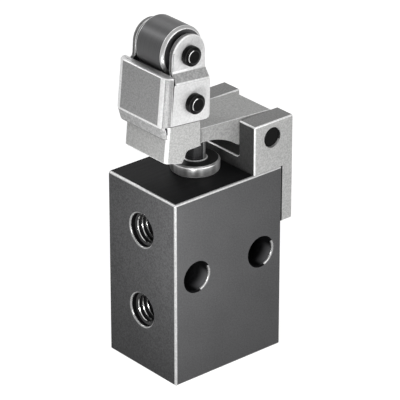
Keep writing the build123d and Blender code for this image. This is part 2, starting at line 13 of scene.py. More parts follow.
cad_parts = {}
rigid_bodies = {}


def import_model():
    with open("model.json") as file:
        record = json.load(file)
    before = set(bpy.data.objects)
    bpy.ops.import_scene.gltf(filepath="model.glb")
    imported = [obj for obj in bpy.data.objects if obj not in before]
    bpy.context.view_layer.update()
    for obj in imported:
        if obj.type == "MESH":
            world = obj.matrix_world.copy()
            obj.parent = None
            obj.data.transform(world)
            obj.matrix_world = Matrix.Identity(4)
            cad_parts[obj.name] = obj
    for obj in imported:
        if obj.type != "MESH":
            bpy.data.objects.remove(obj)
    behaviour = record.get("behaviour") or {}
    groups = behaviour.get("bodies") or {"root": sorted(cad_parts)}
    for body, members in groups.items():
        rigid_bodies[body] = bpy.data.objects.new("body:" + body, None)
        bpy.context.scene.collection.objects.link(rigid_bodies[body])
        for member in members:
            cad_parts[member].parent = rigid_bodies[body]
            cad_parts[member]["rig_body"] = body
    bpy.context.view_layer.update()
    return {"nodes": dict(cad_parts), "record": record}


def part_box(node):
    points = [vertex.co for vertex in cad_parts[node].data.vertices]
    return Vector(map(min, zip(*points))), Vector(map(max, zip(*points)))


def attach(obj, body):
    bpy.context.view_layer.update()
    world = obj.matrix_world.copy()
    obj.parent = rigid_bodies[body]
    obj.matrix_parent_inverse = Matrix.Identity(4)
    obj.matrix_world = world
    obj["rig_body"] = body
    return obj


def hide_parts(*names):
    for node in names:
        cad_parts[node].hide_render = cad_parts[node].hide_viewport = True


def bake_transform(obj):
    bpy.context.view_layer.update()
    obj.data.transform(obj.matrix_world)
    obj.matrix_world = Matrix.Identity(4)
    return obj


bl_info = {
    "name": "Roller Lever Valve",
    "version": (1, 0, 0),
    "blender": (4, 5, 0),
    "location": "3D View > Sidebar > Valve",
    "description": "Dresses the packed frame of a small roller lever valve",
    "category": "Object",
}

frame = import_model()
MM = 0.001
LOOKS = {}  # finishes by name, filled by the first operator

SAME_PLANE = math.radians(0.5)  # faces that turn less than this lie in one plane
DOUBLES = 0.0005 * MM  # vertices nearer than this are one
TOUCH = 0.1 * MM  # faces nearer to a plane than this lie in it
# what a face's normal has of a direction: 1 where it points that way, 0 where it stands across
FLAT = 0.97  # a flat face has more than this of the way it looks, a bevel less
FACING = 0.9  # a face with more than this looks that way
HALF = 0.5
SLOPING = 0.4  # a bevel with more than this slopes that way
LEANING = 0.3  # a face with more than this leans that way
SLIGHT = 0.2  # a face with more than this has turned that way a little
ACROSS = 0.1  # a face with less than this stands across
SLANTED = 0.93  # a slanted face has less than this of every axis


def linear(code):
    """Turn an sRGB hex colour into the linear colour that the shaders work in."""
    channels = [int(code[i : i + 2], 16) / 255 for i in (1, 3, 5)]
    curve = [c / 12.92 if c <= 0.04045 else ((c + 0.055) / 1.055) ** 2.4 for c in channels]
    return (*curve, 1.0)


def colour(name, description, code):
    """A colour that the user may change."""
    return bpy.props.FloatVectorProperty(
        name=name,
        description=description,
        subtype="COLOR",
        size=4,
        min=0,
        max=1,
        default=linear(code),
    )


def size(name, description, millimetres):
    """A length that the user may change."""
    return bpy.props.FloatProperty(
        name=name,
        description=description,
        subtype="DISTANCE",
        unit="LENGTH",
        precision=5,
        min=0,
        default=millimetres * MM,
    )


class ValveColours(bpy.types.PropertyGroup):
    """Colours of the valve's finishes."""

    anodised: colour("Anodised block", "Dark satin of the extruded block", "#5b5b5c")
    # painted shade: the darker colour of the block's top and underside
    shaded_ends: colour("Milled ends", "Darker anodising on the block's milled ends", "#1b1b1c")
    # painted highlight: the pale colour of the block's broken edges
    painted_edge_highlight: colour("Broken edges", "Bare alloy where the block's edges are broken", "#cccccc")
    mouth: colour("Hole mouths", "Countersunk mouths of the block's holes", "#a0a0a0")
    # painted shade: the nearly black colour inside the holes and between the thread's crests
    painted_hole_shade: colour("Bores", "Dyed wall deep in the drilled holes", "#141415")
    # painted light: the colour of the mounting holes' walls near their mouths
    painted_hole_light: colour("Hole walls", "Wall of the mounting holes just inside", "#646466")
    thread: colour("Tapped thread", "Bare alloy of the port threads", "#d0d0cf")
    casting: colour("Die casting", "Blasted alloy of the lever and the bracket", "#c8c8c7")
    casting_pit: colour("Die casting, low spots", "Low spots of the blasted skin", "#9e9e9d")
    # painted highlight: the near-white colour of rounded edges, bends and rims
    painted_highlight: colour("Rubbed edges", "Bright edges of castings and sheet", "#f4f4f4")
    sheet: colour("Pressed sheet", "Bright plated sheet of the carrier", "#e4e4e4")
    # painted shade: the darker colour of the carrier's front plate and its bends
    painted_shade_sheet_face: colour("Grained front", "Grained front plate of the carrier", "#989898")
    # painted shade: the darker colour of the carrier's step slopes, fold and lip
    stretched_shade: colour("Stretched sheet", "Dull steps and lip of the carrier", "#b2b2b2")
    sheared: colour("Sheared sheet", "Raw sheared edges of the carrier", "#6a6a6a")
    # painted shade: the dark colour of the carrier's inner faces and lower edges
    inside: colour("Inside of the sheet", "Oily inner faces of the carrier", "#4e4e4e")
    # painted shade: the dark colour of the bracket's front faces and between its ears
    painted_shade_cast: colour("Unblasted casting", "Faces between the bracket's ears", "#424242")
    pin: colour("Black pins", "Blackened steel of the riveted pins", "#161616")
    roller: colour("Roller", "Ground and blued steel of the roller", "#505051")
    # painted highlight: the light colour of the roller's chamfers
    roller_rim_highlight: colour("Roller's ends", "Bright ground ends of the roller", "#b4b4b4")
    turned: colour("Turned steel", "Bare turned steel of the collar", "#b0b0b0")
    plunger: colour("Plunger", "Hardened dark steel of the plunger", "#333334")
    # painted shade: the dark colour of the collar's top face
    collar_top_shade: colour("Faced end", "Oily end face of the collar", "#262626")
    screw: colour("Screws", "Zinc plating of the bracket screws", "#7c7c7c")
    joint: colour("Joints", "Dark joint round the flush screws", "#2c2c2c")
    wire: colour("Spring wire", "Drawn and oiled wire of the springs", "#8a8a8a")
    brass: colour("Brass", "Turned brass of the seat and the closing screw", "#b99b5f")
    rubber: colour("Seal rubber", "Black nitrile rubber of the seals", "#141414")


class ValveSizes(bpy.types.PropertyGroup):
    """Sizes of the details that the plain pieces lack."""

    # the lever's rounded edges carry a painted highlight
    casting_edge: size("Casting edge", "Width of the rubbed edge of the lever", 0.3)
    sheet_edge: size("Sheet edge", "Width of the rolled edge of the carrier", 0.34)
    pin_edge: size("Pin edge", "Width of the rounded edges of the pins", 0.16)
    turned_edge: size("Turned edge", "Broken edges of the roller and the plunger", 0.2)
    collar_edge: size("Collar edge", "Width of the broken edges of the collar", 0.14)
    screw_edge: size("Screw edge", "Width of the dark joint round the screw heads", 0.12)
    wire_edge: size("Wire rounding", "Rounding that makes wires and seals round", 0.18)
    thread_pitch: size("Thread pitch", "Pitch of the M5 port threads", 0.8)
    thread_crest: size("Thread crest", "Radius of the crests of the port threads", 2.1)
    thread_edge: size("Thread edge", "Width of the bright edges of the crests", 0.12)


def only(*pieces):
    """Select these objects alone, and make the first one active."""
    bpy.ops.object.select_all(action="DESELECT")
    for piece in pieces:
        piece.select_set(True)
    bpy.context.view_layer.objects.active = pieces[0]


def merged_copy(node, name):
    """Copy a CAD piece as one closed mesh whose flat faces are whole."""
    only(frame["nodes"][node])
    bpy.ops.object.duplicate()
    piece = bpy.context.object
    bpy.ops.object.parent_clear(type="CLEAR_KEEP_TRANSFORM")
    # the node's marks belong to the CAD piece alone
    for key in list(piece.keys()):
        del piece[key]
    piece.name = name
    piece.data.materials.clear()
    bpy.ops.object.mode_set(mode="EDIT")
    bpy.ops.mesh.select_all(action="SELECT")
    bpy.ops.mesh.customdata_custom_splitnormals_clear()
    bpy.ops.mesh.remove_doubles(threshold=DOUBLES)
    bpy.ops.mesh.dissolve_limited(angle_limit=SAME_PLANE)
    bpy.ops.object.mode_set(mode="OBJECT")
    return piece


def dress(piece, *looks):
    """Give a piece its finishes: the first covers it, the second is for its edges."""
    for look in looks:
        piece.data.materials.append(LOOKS[look])


def assign(piece, look, test):
    """Give one of its finishes to the faces whose centre and normal pass a test."""
    bpy.context.tool_settings.mesh_select_mode = (False, False, True)
    mesh = piece.data
    mesh.vertices.foreach_set("select", [False] * len(mesh.vertices))
    mesh.edges.foreach_set("select", [False] * len(mesh.edges))
    mesh.polygons.foreach_set("select", [test(face.center, face.normal) for face in mesh.polygons])
    only(piece)
    bpy.ops.object.mode_set(mode="EDIT")
    piece.active_material_index = mesh.materials.find(LOOKS[look].name)
    bpy.ops.object.material_slot_assign()
    bpy.ops.object.mode_set(mode="OBJECT")


def round_edges(piece, width, least_angle=40, segments=2, slot_index=1):
    """Bevel the outward edges and give the bevel the finish in this slot."""
    mesh = bmesh.new()
    mesh.from_mesh(piece.data)
    weight = mesh.edges.layers.float.new("bevel_weight_edge")
    for edge in mesh.edges:
        if edge.is_manifold and edge.calc_face_angle_signed(0) > math.radians(least_angle):
            edge[weight] = 1
    mesh.to_mesh(piece.data)
    mesh.free()
    bevel = piece.modifiers.new("soft edges", "BEVEL")
    bevel.limit_method = "WEIGHT"
    bevel.offset_type = "OFFSET"
    bevel.width = width / 2
    bevel.segments = segments
    bevel.use_clamp_overlap = False
    # even widths, so that no bevel runs along a cut between a hole and the outline
    bevel.loop_slide = False
    bevel.material = slot_index
    only(piece)
    bpy.ops.object.modifier_apply(modifier=bevel.name)


def smooth(piece, angle=50):
    """Shade round faces smooth, with flat faces kept flat."""
    only(piece)
    bpy.ops.object.shade_smooth_by_angle(angle=math.radians(angle))
    flat = piece.modifiers.new("flat faces", "WEIGHTED_NORMAL")
    flat.keep_sharp = True
    bpy.ops.object.modifier_apply(modifier=flat.name)


def stand_in(piece, node):
    """Let a finished piece ride in the place of its CAD node."""
    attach(piece, frame["nodes"][node]["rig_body"])
    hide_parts(node)


def sides_near(box, centre, reach):
    """Count the pairs of a box's sides of which one lies within reach of a point."""
    low, high = box
    return sum(centre[i] - low[i] < reach or high[i] - centre[i] < reach for i in range(3))


def slanted(normal):
    """Whether a face slants against all three axes' planes."""
    return max(abs(c) for c in normal) < SLANTED


def fill(tree, node, inputs):
    """Fill a node's inputs with values, sockets, or the first open output of other nodes."""
    for key, value in inputs.items():
        if isinstance(value, bpy.types.Node):
            value = next(output for output in value.outputs if output.enabled)
        if isinstance(value, bpy.types.NodeSocket):
            tree.links.new(value, node.inputs[key])
        else:
            node.inputs[key].default_value = value


def add_node(tree, kind, inputs=None, **settings):
    """Add a shader node with its settings and fill its inputs."""
    node = tree.nodes.new(kind)
    for key, value in settings.items():
        setattr(node, key, value)
    fill(tree, node, inputs or {})
    return node


def new_finish(name, metallic, rough, gloss=0.5):
    """Start a material, and give its tree, its shader and its place coordinates."""
    material = bpy.data.materials.new(name)
    material.use_nodes = True
    tree = material.node_tree
    shader = tree.nodes["Principled BSDF"]
    fill(tree, shader, {"Metallic": metallic, "Roughness": rough, "Specular IOR Level": gloss})
    return material, tree, shader, add_node(tree, "ShaderNodeTexCoord").outputs


def coat(tree, shader, paint, sheen_from, levels, relief_from, depth, strength=0.3):
    """Give a shader its paint, and a roughness and a relief that follow patterns.

    The roughness stays between the levels. The relief's depth is in millimetres.
    """
    low, high = levels
    sheen = add_node(
        tree, "ShaderNodeMapRange", {"Value": sheen_from, "To Min": low, "To Max": high}
    )
    bump = add_node(
        tree,
        "ShaderNodeBump",
        {"Height": relief_from, "Strength": strength, "Distance": depth * MM},
    )
    fill(tree, shader, {"Base Color": paint, "Roughness": sheen, "Normal": bump})


def per(millimetres):
    """Scale of a pattern whose grains are this wide."""
    return 1 / (millimetres * MM)


def shade(tint, factor):
    """A lighter or darker tint of a colour."""
    return [min(1, channel * factor) for channel in tint[:3]] + [1]


def shades(tint, darkest, lightest):
    """The darkest and the lightest tint that a finish makes of a colour."""
    return shade(tint, darkest), shade(tint, lightest)


FOOT_SHADE_HEIGHT = 17 * MM  # painted shade: the block's foot is coloured darker up to here
SIDE_FOOT_SHADE = 0.14  # share of the light that the painted shade takes from the foot of the sides
X_END_FOOT_SHADE = 0.36  # the same on the ends of X
SIDE_GRAIN = 0.45  # how much of the grain shows on the sides, against the ends of X


def anodised_block(colours):
    """Dark anodised extrusion.

    The skin is satin, so highlights are broad and soft. Fine die grain shows on the ends of X. The
    milled top and underside, and the foot of the sides, are coloured darker as painted shade.
    """
    material, tree, shader, place = new_finish(
        "anodised_aluminium", metallic=0.0, rough=0.45, gloss=0.05
    )
    grain = add_node(
        tree,
        "ShaderNodeTexNoise",
        # real grain is about 0.05 mm; drawn 0.22 mm wide, so that it shows
        {"Vector": place["Object"], "Scale": per(0.22), "Detail": 2.0, "Roughness": 0.6},
    )
    cloud = add_node(
        tree, "ShaderNodeTexNoise", {"Vector": place["Object"], "Scale": per(7), "Detail": 3.0}
    )
    facing = add_node(tree, "ShaderNodeSeparateXYZ", {0: place["Normal"]}).outputs
    x_end = add_node(tree, "ShaderNodeMath", {0: facing["X"]}, operation="ABSOLUTE")
    to_x_end = {"Value": x_end, "From Min": 0.8, "From Max": 1.0}
    reach = add_node(
        tree, "ShaderNodeMapRange", {**to_x_end, "To Min": SIDE_GRAIN, "To Max": 1.0}
    )
    middle = {"From Min": 0.3, "From Max": 0.7}
    grained = add_node(
        tree, "ShaderNodeMapRange", {"Value": grain, **middle, "To Min": -0.5, "To Max": 0.5}
    )
    even = add_node(
        tree, "ShaderNodeMapRange", {"Value": cloud, **middle, "To Min": 0.4, "To Max": 0.6}
    )
    speckle = add_node(
        tree, "ShaderNodeMath", {0: grained, 1: reach, 2: even}, operation="MULTIPLY_ADD"
    )
    dark, light = shades(colours.anodised, 0.68, 1.3)
    skin = add_node(tree, "ShaderNodeMix", {0: speckle, 6: dark, 7: light}, data_type="RGBA")
    # painted shade: the foot is coloured darker towards the bottom, most on the ends of X
    height = add_node(tree, "ShaderNodeSeparateXYZ", {0: place["Object"]}).outputs["Z"]
    foot = add_node(
        tree,
        "ShaderNodeMapRange",
        {"Value": height, "From Max": FOOT_SHADE_HEIGHT, "To Min": 1.0, "To Max": 0.0},
    )
    foot_shade_depth = add_node(
        tree, "ShaderNodeMapRange", {**to_x_end, "To Min": SIDE_FOOT_SHADE, "To Max": X_END_FOOT_SHADE}
    )
    painted_foot_shade = add_node(tree, "ShaderNodeMath", {0: foot, 1: foot_shade_depth}, operation="MULTIPLY")
    left = add_node(tree, "ShaderNodeMath", {0: 1.0, 1: painted_foot_shade}, operation="SUBTRACT")
    skin = add_node(tree, "ShaderNodeVectorMath", {0: skin, "Scale": left}, operation="SCALE")
    # painted shade: the top and underside are coloured darker than the sides
    z_end = add_node(tree, "ShaderNodeMath", {0: facing["Z"]}, operation="ABSOLUTE")
    ends_shade_mask = add_node(
        tree, "ShaderNodeMapRange", {"Value": z_end, "From Min": 0.85, "From Max": 0.97}
    )
    # milling marks run across the ends, 0.5 mm apart
    stretch = add_node(
        tree,
        "ShaderNodeMapping",
        {"Vector": place["Object"], "Scale": (per(6), per(0.5), per(6))},
    )
    marks = add_node(tree, "ShaderNodeTexNoise", {"Vector": stretch, "Scale": 1.0, "Detail": 3.0})
    dark, light = shades(colours.shaded_ends, 0.6, 1.7)
    ends_shade_paint = add_node(tree, "ShaderNodeMix", {0: marks, 6: dark, 7: light}, data_type="RGBA")
    both = add_node(tree, "ShaderNodeMix", {0: ends_shade_mask, 6: skin, 7: ends_shade_paint}, data_type="RGBA")
    coat(tree, shader, both, grain, (0.38, 0.58), grain, depth=0.01, strength=0.25)
    return material


def spotted(name, tints, metallic, rough, grain=0.3, relief=0.01, blotch=0.3, gloss=0.5):
    """A skin with fine spots, soft blotches 14 times as wide, and a matching relief and roughness.

    The grain's width and the relief's depth are in millimetres.
    """
    material, tree, shader, place = new_finish(name, metallic, rough, gloss)
    fine = add_node(
        tree,
        "ShaderNodeTexNoise",
        {"Vector": place["Object"], "Scale": per(grain), "Detail": 2.0, "Roughness": 0.65},
    )
    broad = add_node(
        tree,
        "ShaderNodeTexNoise",
        {"Vector": place["Object"], "Scale": per(grain * 14), "Detail": 4.0},
    )
    spread = add_node(
        tree, "ShaderNodeMapRange", {"Value": fine, "From Min": 0.36, "From Max": 0.64}
    )
    tone = add_node(tree, "ShaderNodeMix", {0: blotch, 2: spread, 3: broad}, data_type="FLOAT")
    dark, light = tints
    paint = add_node(tree, "ShaderNodeMix", {0: tone, 6: dark, 7: light}, data_type="RGBA")
    coat(tree, shader, paint, broad, (rough - 0.08, rough + 0.08), fine, relief)
    return material


def turned(
    name, tints, metallic, rough=0.3, mark=0.16, centre=(0, 0, 0), lying=False, gloss=0.5, painted_reflection=0
):
    """A lathe-cut metal: fine rings round the piece's own axis, which stands or lies along Y.

    The rings are as wide as the mark, in millimetres. The streaks along the axis are painted
    reflections: the bands that a round piece mirrors.
    """
    material, tree, shader, place = new_finish(name, metallic, rough, gloss)
    local = add_node(
        tree, "ShaderNodeVectorMath", {0: place["Object"], 1: tuple(centre)}, operation="SUBTRACT"
    )
    parts = add_node(tree, "ShaderNodeSeparateXYZ", {0: local}).outputs
    across, along = (parts["Z"], parts["Y"]) if lying else (parts["Y"], parts["Z"])
    flat = add_node(tree, "ShaderNodeCombineXYZ", {0: parts["X"], 1: across})
    radius = add_node(tree, "ShaderNodeVectorMath", {0: flat}, operation="LENGTH")
    rings = add_node(tree, "ShaderNodeCombineXYZ", {0: radius, 1: along})
    marks = add_node(
        tree,
        "ShaderNodeTexNoise",
        {"Vector": rings, "Scale": per(mark), "Detail": 2.0, "Roughness": 0.6},
    )
    spread = add_node(
        tree, "ShaderNodeMapRange", {"Value": marks, "From Min": 0.3, "From Max": 0.7}
    )
    dark, light = tints
    paint = add_node(tree, "ShaderNodeMix", {0: spread, 6: dark, 7: light}, data_type="RGBA")
    # painted reflection: real bands are as wide as what the piece mirrors; drawn about 1.3 mm wide
    bands = add_node(
        tree, "ShaderNodeTexNoise", {"Vector": flat, "Scale": per(1.3), "Detail": 1.0}
    )
    levels = {"To Min": 1 - painted_reflection, "To Max": 1 + painted_reflection}
    level = add_node(
        tree,
        "ShaderNodeMapRange",
        {"Value": bands, "From Min": 0.35, "From Max": 0.65, **levels},
    )
    paint = add_node(tree, "ShaderNodeVectorMath", {0: paint, "Scale": level}, operation="SCALE")
    coat(tree, shader, paint, marks, (rough - 0.06, rough + 0.06), marks, depth=0.008)
    return material


HOLE_LIGHT_Y = 7.4 * MM  # painted light on the mounting holes' walls is brightest here
HOLE_DARK_Y = 5.2 * MM  # and painted shade from here on inwards
HOLE_LIGHT_SIDE = (-0.78, 0, 0.62)  # normal of the wall side that gets the painted light


def hole_wall_light_and_shade(colours):
    """Drilled wall: painted light in the mounting holes' mouths, nearly black painted shade inside.

    The shade is painted darkest where no light comes; the wall has no gloss, so it swallows light.
    """
    tints = shades(colours.painted_hole_shade, 0.6, 1.4)
    material = spotted("hole_wall_painted_shade", tints, metallic=0.0, rough=0.6, gloss=0.0)
    tree = material.node_tree
    shader = tree.nodes["Principled BSDF"]
    skin = shader.inputs["Base Color"].links[0].from_socket
    place = add_node(tree, "ShaderNodeTexCoord").outputs
    across = add_node(tree, "ShaderNodeSeparateXYZ", {0: place["Object"]}).outputs["Y"]
    reach = add_node(tree, "ShaderNodeMath", {0: across}, operation="ABSOLUTE")
    near_mouth = add_node(
        tree,
        "ShaderNodeMapRange",
        {"Value": reach, "From Min": HOLE_DARK_Y, "From Max": HOLE_LIGHT_Y},
        interpolation_type="SMOOTHSTEP",
    )
    turned_out = add_node(
        tree,
        "ShaderNodeVectorMath",
        {0: place["Normal"], 1: HOLE_LIGHT_SIDE},
        operation="DOT_PRODUCT",
    )
    lit_side = add_node(
        tree,
        "ShaderNodeMapRange",
        {"Value": turned_out, "From Min": 0.6, "From Max": 1.0},
        interpolation_type="SMOOTHSTEP",
    )
    # painted light near the mouth on the side facing HOLE_LIGHT_SIDE, painted shade elsewhere
    light = add_node(tree, "ShaderNodeMath", {0: near_mouth, 1: lit_side}, operation="MULTIPLY")
    both = add_node(
        tree, "ShaderNodeMix", {0: light, 6: skin, 7: colours.painted_hole_light}, data_type="RGBA"
    )
    fill(tree, shader, {"Base Color": both})
    return material


ARM_SHADE = 0.8  # painted shade: how much of its light the arm's side keeps against the blasted faces


def make_finishes(colours):
    """All finishes by name, each after its real material."""
    looks = {"anodised_body": anodised_block(colours), "painted_hole_shade": hole_wall_light_and_shade(colours)}
    # painted highlight on broken edges: pale like bare alloy, with small nicks
    looks["painted_edge_highlight"] = spotted(
        "edge_painted_highlight", shades(colours.painted_edge_highlight, 0.7, 1.0),
        metallic=0.6, rough=0.35, relief=0.005,
    )
    # countersunk mouths of the holes: cut before the anodising, glossy, so that they catch a lamp
    looks["mouth"] = spotted(
        "countersunk_mouth", shades(colours.mouth, 0.7, 1.2), metallic=0.8, rough=0.28, relief=0.005
    )
    # painted shade on the flanks of the thread, as dark as the holes, so that the crests stand out
    looks["thread_flank"] = spotted(
        "thread_flank", shades(colours.painted_hole_shade, 0.9, 2.4),
        metallic=0.2, rough=0.35, grain=0.25, relief=0.005,
    )
    # crests that the tap left bare: they flash white
    looks["thread"] = spotted(
        "tapped_aluminium", shades(colours.thread, 0.85, 1.3),
        metallic=1.0, rough=0.2, grain=0.25, relief=0.005,
    )
    cast = {"grain": 0.24, "relief": 0.02}
    blasted = {"metallic": 0.1, "rough": 0.55, "gloss": 0.3, **cast}
    # zinc die casting, glass blasted: matt and light with a fine dark stipple
    pit, skin = colours.casting_pit, colours.casting
    looks["cast_metal"] = spotted("blasted_die_casting", (pit, skin), **blasted)
    # painted shade on the sides of the lever's arm: the blasted casting, a shade darker
    arm_shade_tints = shade(pit, ARM_SHADE), shade(skin, ARM_SHADE)
    looks["arm_side_shade"] = spotted("arm_side_painted_shade", arm_shade_tints, **blasted)
    # painted shade on the tops of the bracket's ears: the blasted skin, darker
    looks["ear_top_shade"] = spotted(
        "ear_top_painted_shade", shades(pit, 0.42, 0.75), metallic=0.2, rough=0.5, **cast
    )
    # painted shade on the bracket's front faces and between its ears: a dark casting colour
    looks["painted_shade_cast"] = spotted(
        "casting_painted_shade", shades(colours.painted_shade_cast, 0.6, 1.3), metallic=0.25, rough=0.5, **cast
    )
    # painted highlight on edges, bends and rims: near white
    looks["painted_highlight"] = spotted(
        "painted_highlight_edge", shades(colours.painted_highlight, 0.8, 1.0),
        metallic=0.4, rough=0.3, grain=0.4, relief=0.005,
    )
    # rolled and plated sheet: bright, with soft smudges
    looks["pressed_steel"] = spotted(
        "plated_sheet", shades(colours.sheet, 0.7, 1.06),
        metallic=0.3, rough=0.35, relief=0.006, blotch=0.6,
    )
    # painted shade on the flat front and the bends beside it, which keep the grain of the rolled
    # strip
    looks["grained"] = spotted(
        "grained_sheet_painted_shade", shades(colours.painted_shade_sheet_face, 0.72, 1.15),
        metallic=0.3, rough=0.45, grain=0.22,
    )
    # painted shade on the steps' slopes, the fold and the lip: dull and mottled
    looks["stretched_shade"] = spotted(
        "steps_and_lip_shade", shades(colours.stretched_shade, 0.62, 1.25),
        metallic=0.1, rough=0.6, grain=0.35,
    )
    # raw edge of the sheet where the press tool sheared it: rough and darker than the plating
    looks["sheared"] = spotted(
        "sheared_sheet_edge", shades(colours.sheared, 0.6, 1.35), metallic=0.3, rough=0.5
    )
    # painted shade on the inside of the carrier and on its lower edges: dark sheet
    looks["inside"] = spotted(
        "sheet_inside_painted_shade", shades(colours.inside, 0.6, 1.3), metallic=0.3, rough=0.4, grain=0.35
    )
    # chemically blackened steel: nearly black, with a low oily gloss
    looks["black_steel"] = spotted(
        "blackened_steel", shades(colours.pin, 0.25, 0.7),
        metallic=0.0, rough=0.3, grain=0.2, gloss=0.06,
    )
    # the same on the rims of the pins, where it wears to grey
    looks["black_edge"] = spotted(
        "rubbed_blackened_steel", shades(colours.pin, 1, 3), metallic=0.3, rough=0.3, gloss=0.2
    )
    low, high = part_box("roller")
    across = {"mark": 0.15, "centre": (low + high) / 2, "lying": True}
    # ground and blued: dark, with fine rings and a broad soft highlight
    looks["ground_steel"] = turned(
        "ground_steel", shades(colours.roller, 0.75, 1.15), metallic=0.55, rough=0.42, **across
    )
    # painted highlight on the roller's chamfers: a bright ring
    looks["roller_rim_highlight"] = turned(
        "roller_rim_painted_highlight", shades(colours.roller_rim_highlight, 0.8, 1.1), metallic=0.5, **across
    )
    # bare turned steel, with painted reflection bands down the side
    looks["turned_steel"] = turned(
        "turned_steel", shades(colours.turned, 0.75, 1.1), metallic=0.6, painted_reflection=0.45
    )
    # hardened and polished: dark, with painted reflection bands and a narrow highlight
    looks["plunger_steel"] = turned(
        "hardened_plunger_steel", shades(colours.plunger, 0.7, 1.2),
        metallic=0.5, rough=0.2, mark=0.3, painted_reflection=0.3,
    )
    # painted shade on the collar's end face: darker than the turned side
    looks["collar_top_painted_shade"] = turned(
        "collar_top_painted_shade", shades(colours.collar_top_shade, 0.6, 1.3), metallic=0.2, rough=0.35, gloss=0.2
    )
    # painted highlight on edges broken on the lathe: bright lines
    looks["turned_edge"] = spotted(
        "steel_edge_painted_highlight", shades(colours.painted_highlight, 0.6, 0.85),
        metallic=0.8, rough=0.36, grain=0.4, relief=0.005,
    )
    # zinc-plated screws, a little darker than the casting round them
    looks["screw_steel"] = spotted(
        "zinc_plated_screw", shades(colours.screw, 0.7, 1.15), metallic=0.6, rough=0.35, grain=0.2
    )
    # dirt and shade in the joint round a flush screw
    looks["joint"] = spotted(
        "dark_joint", shades(colours.joint, 0.6, 1.4), metallic=0.0, rough=0.6, grain=0.2, gloss=0.2
    )
    # drawn and oiled wire: smooth, with faint marks along it
    looks["spring_wire"] = spotted(
        "drawn_spring_wire", shades(colours.wire, 0.75, 1.1),
        metallic=0.8, rough=0.3, grain=0.15, relief=0.004,
    )
    # turned brass: warm, with fine rings
    looks["brass"] = turned("turned_brass", shades(colours.brass, 0.75, 1.1), metallic=0.9)
    # moulded nitrile rubber: black and matt
    looks["seal_rubber"] = spotted(
        "nitrile_rubber", shades(colours.rubber, 0.7, 1.5), metallic=0.0, rough=0.65, grain=0.2
    )
    return looks


class VALVE_OT_finishes(bpy.types.Operator):
    """Make the finishes and dress the CAD pieces in them"""

    bl_idname = "valve.finishes"
    bl_label = "Finishes"

    def execute(self, context):
        LOOKS.update(make_finishes(context.scene.valve_colours))
        for part in frame["record"]["subparts"]:
            node = frame["nodes"][part["node"]]
            node.data.materials.clear()
            node.data.materials.append(LOOKS[part["material_slot"]])
        return {"FINISHED"}


BLOCK_SKIN = 0.35 * MM  # what lies deeper under the block's outside is in a hole
MOUTH_UNSHADED_SIDE = Vector((-0.91, 0, 0.41))  # side of the mounting holes' mouths that keeps its own finish, without painted shade
MOUTH_UNSHADED_TURN = 0.45  # how far a mouth's face has to turn to that side, from 0 to 1


class VALVE_OT_block(bpy.types.Operator):
    """Dress the block with painted highlights on its edges and painted shade in its holes"""

    bl_idname = "valve.block"
    bl_label = "Block"

    def execute(self, context):
        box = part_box("valve_body")
        piece = merged_copy("valve_body", "block")
        dress(piece, "anodised_body", "painted_edge_highlight", "painted_hole_shade", "mouth")
        # painted shade: every face inside the holes takes the dark hole wall
        assign(piece, "painted_hole_shade", lambda centre, normal: not sides_near(box, centre, BLOCK_SKIN))
        assign(
            piece,
            "mouth",
            lambda centre, normal: slanted(normal) and sides_near(box, centre, BLOCK_SKIN) > 0,
        )
        # painted shade: the mounting holes' mouths take the dark hole wall, except on one side
        assign(
            piece,
            "painted_hole_shade",
            lambda centre, normal: slanted(normal)
            and box[1].y - abs(centre.y) < BLOCK_SKIN
            and normal.dot(MOUTH_UNSHADED_SIDE) < MOUTH_UNSHADED_TURN,
        )
        # painted highlight on the block's broken edges
        assign(
            piece,
            "painted_edge_highlight",
            lambda centre, normal: slanted(normal) and sides_near(box, centre, BLOCK_SKIN) > 1,
        )
        smooth(piece, 60)
        stand_in(piece, "valve_body")
        return {"FINISHED"}


PORT_RADIUS = 2.5 * MM
PORT_HEIGHTS = {"supply": 9.5 * MM, "outlet": 22.3 * MM}
THREAD_MOUTH_X = -9.72 * MM  # the thread starts here
THREAD_END_X = -5.1 * MM  # and has its last whole turn before this
THREAD_STEPS = 40  # steps of the helix in a turn
THREAD_SINK = 0.03 * MM  # how deep the teeth's feet lie in the port's wall
TOOTH_FOOT = 0.85  # width of a tooth's foot, in pitches
TOOTH_CREST = 0.3  # width of its crest, in widths of the foot
TOOTH_CORNERS = 4
TOOTH_LEAST = 0.05  # height of a tooth at the thread's very ends, where 1 is whole
RUN_OUT = 1 / 3  # turns over which a tooth grows to its whole height


